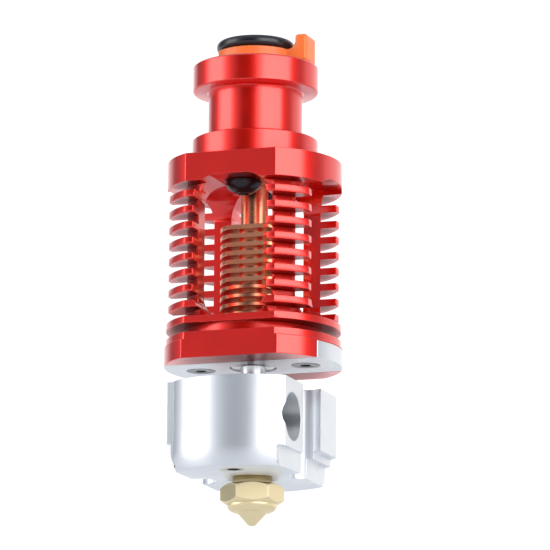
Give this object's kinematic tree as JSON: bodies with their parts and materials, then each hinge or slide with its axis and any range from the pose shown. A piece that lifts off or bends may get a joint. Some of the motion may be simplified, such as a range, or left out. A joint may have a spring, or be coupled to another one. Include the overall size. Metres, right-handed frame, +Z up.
{
  "type": "3d printer hotend assembly",
  "caption": "Filament printer hotend: groove mount with push-fit collet and clip, finned red cage round a copper core, clamp plate, heater block and brass nozzle.",
  "frame": {"origin": "on the filament axis, halfway along the mounting groove's neck", "axes": "+Z up along the filament axis to the inlet, -Y is the front, +X is the side of the heater bore's mouth"},
  "size_m": [0.0226, 0.023, 0.0629],
  "materials": {
    "red_anodised": "red anodised, satin gloss, turned and milled",
    "black_plastic": "glossy moulded",
    "orange_plastic": "moulded, slightly translucent",
    "copper": "bright turned copper",
    "plate_aluminium": "satin milled",
    "block_aluminium": "fine turned and milled, bright",
    "steel": "turned stainless",
    "black_steel": "black oxide",
    "brass": "turned brass"
  },
  "bodies": {
    "frame": {"groove_mount": "red_anodised", "collet_bush": "brass", "cage": "red_anodised", "mount_screw_front": "black_steel", "mount_screw_back": "black_steel", "copper_core": "copper", "clamp_plate": "plate_aluminium", "plate_screw_left": "steel", "plate_screw_right": "steel", "heatbreak": "steel", "heater_block": "block_aluminium", "heater_grub_screw": "black_steel", "sensor_grub_screw": "black_steel"},
    "collet": {"collet": "black_plastic", "collet_tooth_1": "steel", "collet_tooth_2": "steel", "collet_tooth_3": "steel", "collet_tooth_4": "steel"},
    "clip": {"collet_clip": "orange_plastic"},
    "nozzle": {"nozzle": "brass"}
  },
  "joints": [
    {"name": "collet_slide", "type": "slide", "parent": "frame", "child": "collet", "axis": [0, 0, 1], "range_m": [0, 0.0005]},
    {"name": "clip_pull", "type": "slide", "parent": "frame", "child": "clip", "axis": [1, 0, 0], "range_m": [0, 0.014]},
    {"name": "nozzle_out", "type": "slide", "parent": "frame", "child": "nozzle", "axis": [0, 0, -1], "range_m": [0, 0.009]}
  ]
}
